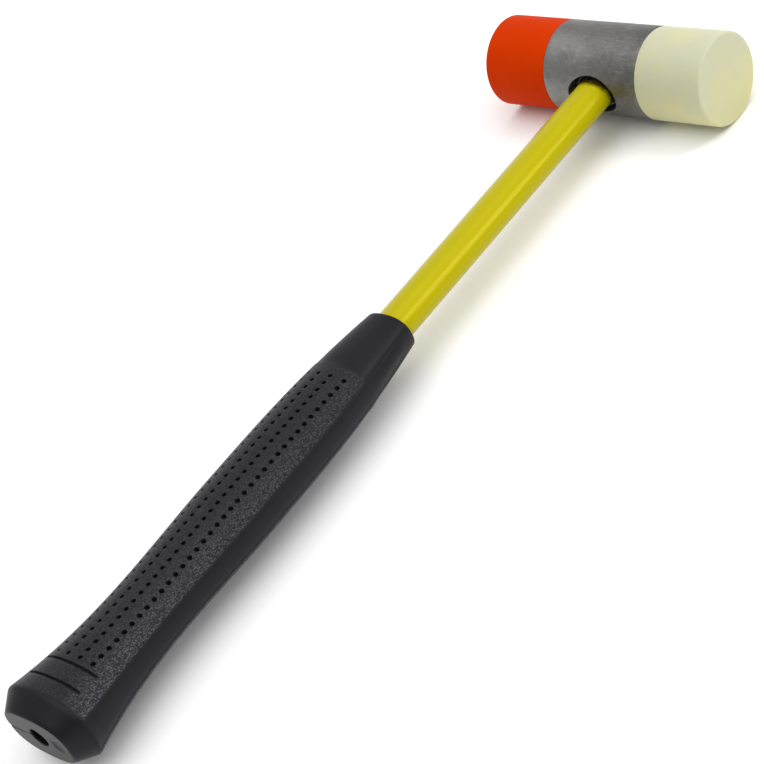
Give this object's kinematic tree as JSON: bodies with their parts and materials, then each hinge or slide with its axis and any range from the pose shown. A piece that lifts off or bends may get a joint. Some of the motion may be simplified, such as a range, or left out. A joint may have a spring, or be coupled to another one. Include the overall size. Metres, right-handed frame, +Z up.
{
  "type": "soft-face mallet",
  "caption": "Straight-handled mallet: round steel head with a soft and a hard screw-in tip, oval fibreglass shaft and flared rubber grip.",
  "frame": {"origin": "under the middle of the mallet's box, level with the lowest line of the head, with the mallet lying on its side", "axes": "+X along the head towards the hard tip, the handle runs towards -Y, +Z up out of the plane of the head and the handle"},
  "size_m": [0.1106, 0.386, 0.0381],
  "materials": {
    "satin_steel": "satin, ground bar, slightly mottled",
    "zinc_plated_steel": "zinc plated",
    "orange_urethane": "smooth moulded, satin",
    "ivory_nylon": "smooth, slightly translucent",
    "seal_rubber": "matt",
    "yellow_fibreglass": "smooth, satin gloss",
    "black_epoxy": "glossy, poured",
    "black_rubber": "moulded, pebbled top and underside, smooth sides"
  },
  "bodies": {
    "head_and_handle": {"head_body": "satin_steel", "handle_shaft": "yellow_fibreglass", "eye_bond": "black_epoxy", "grip": "black_rubber"},
    "soft_ring": {"soft_tip_ring": "seal_rubber"},
    "soft_tip": {"soft_tip": "orange_urethane", "soft_tip_stud": "zinc_plated_steel"},
    "hard_ring": {"hard_tip_ring": "seal_rubber"},
    "hard_tip": {"hard_tip": "ivory_nylon", "hard_tip_stud": "zinc_plated_steel"}
  },
  "joints": [
    {"name": "soft_tip_travel", "type": "slide", "parent": "head_and_handle", "child": "soft_ring", "axis": [-1, 0, 0], "range_m": [0, 0.0088]},
    {"name": "soft_tip_turn", "type": "hinge", "parent": "soft_ring", "child": "soft_tip", "pos_m": [-0.0235, 0.17397, 0.01905], "axis": [-1, 0, 0], "range_deg": [0, 1620]},
    {"name": "hard_tip_travel", "type": "slide", "parent": "head_and_handle", "child": "hard_ring", "axis": [1, 0, 0], "range_m": [0, 0.0088]},
    {"name": "hard_tip_turn", "type": "hinge", "parent": "hard_ring", "child": "hard_tip", "pos_m": [0.0235, 0.17397, 0.01905], "axis": [1, 0, 0], "range_deg": [0, 1620]}
  ],
  "couplings": [
    {"joint": "soft_tip_travel", "follows": "soft_tip_turn", "m_per_rad": 0.00031096},
    {"joint": "hard_tip_travel", "follows": "hard_tip_turn", "m_per_rad": 0.00031096}
  ]
}
